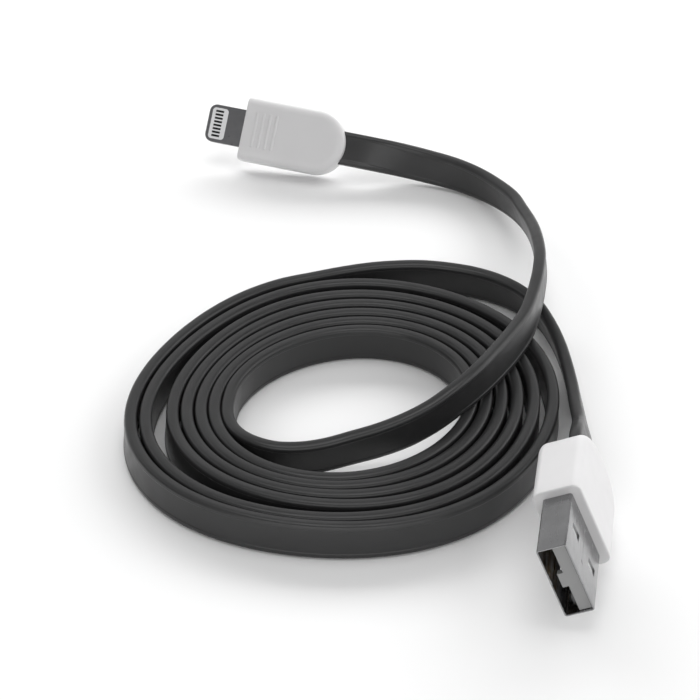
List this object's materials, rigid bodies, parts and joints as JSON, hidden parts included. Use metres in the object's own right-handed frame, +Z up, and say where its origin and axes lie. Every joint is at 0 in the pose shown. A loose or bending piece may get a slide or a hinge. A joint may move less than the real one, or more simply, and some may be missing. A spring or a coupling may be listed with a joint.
{
  "type": "charging cable",
  "caption": "Flat on-edge charging cable wound into a spiral coil, with a rectangular A plug on its outer end and a slim reversible phone plug on its inner end.",
  "frame": {"origin": "centre of the whole object's outline, on the plane it stands on", "axes": "+Z up from the plane it stands on; -Y towards the A plug's mouth; +X to the side where the inner lead crosses over the coil"},
  "size_m": [0.0742, 0.131, 0.0163],
  "materials": {
    "cable_jacket": "satin moulded elastomer",
    "housing_white": "soft satin",
    "shell_steel": "satin nickel plate",
    "shield_steel": "plain stamped",
    "blade_steel": "dark satin",
    "insulator_grey": "plain",
    "pad_grey": "smooth satin",
    "contact_dark": "dark plated",
    "contact_gold": "gold plated",
    "inner_mould": "milky",
    "crimp_brass": "plain",
    "board_green": "solder mask",
    "chip_black": "plain",
    "board_parts": "plain",
    "wire_red": "plain",
    "wire_white": "plain",
    "wire_green": "plain",
    "wire_black": "plain"
  },
  "bodies": {
    "root": {"a_shell": "shell_steel", "a_tongue": "insulator_grey", "a_contact_power": "contact_gold", "a_contact_data_minus": "contact_gold", "a_contact_data_plus": "contact_gold", "a_contact_ground": "contact_gold", "a_shield_upper": "shield_steel", "a_shield_lower": "shield_steel", "a_inner_mould": "inner_mould", "a_crimp": "crimp_brass", "a_housing": "housing_white", "a_wire_power": "wire_red", "a_wire_data_minus": "wire_white", "a_wire_data_plus": "wire_green", "a_wire_ground": "wire_black", "b_blade": "blade_steel", "b_pad_front": "pad_grey", "b_pad_back": "pad_grey", "b_contacts_front": "contact_dark", "b_contacts_back": "contact_dark", "b_board": "board_green", "b_chip": "chip_black", "b_board_parts": "board_parts", "b_shield_front": "shield_steel", "b_shield_back": "shield_steel", "b_inner_mould": "inner_mould", "b_crimp": "crimp_brass", "b_housing": "housing_white", "b_wire_power": "wire_red", "b_wire_data_minus": "wire_white", "b_wire_data_plus": "wire_green", "b_wire_ground": "wire_black", "cable_lead_a": "cable_jacket", "cable_coil": "cable_jacket", "cable_lead_b": "cable_jacket"}
  },
  "joints": []
}
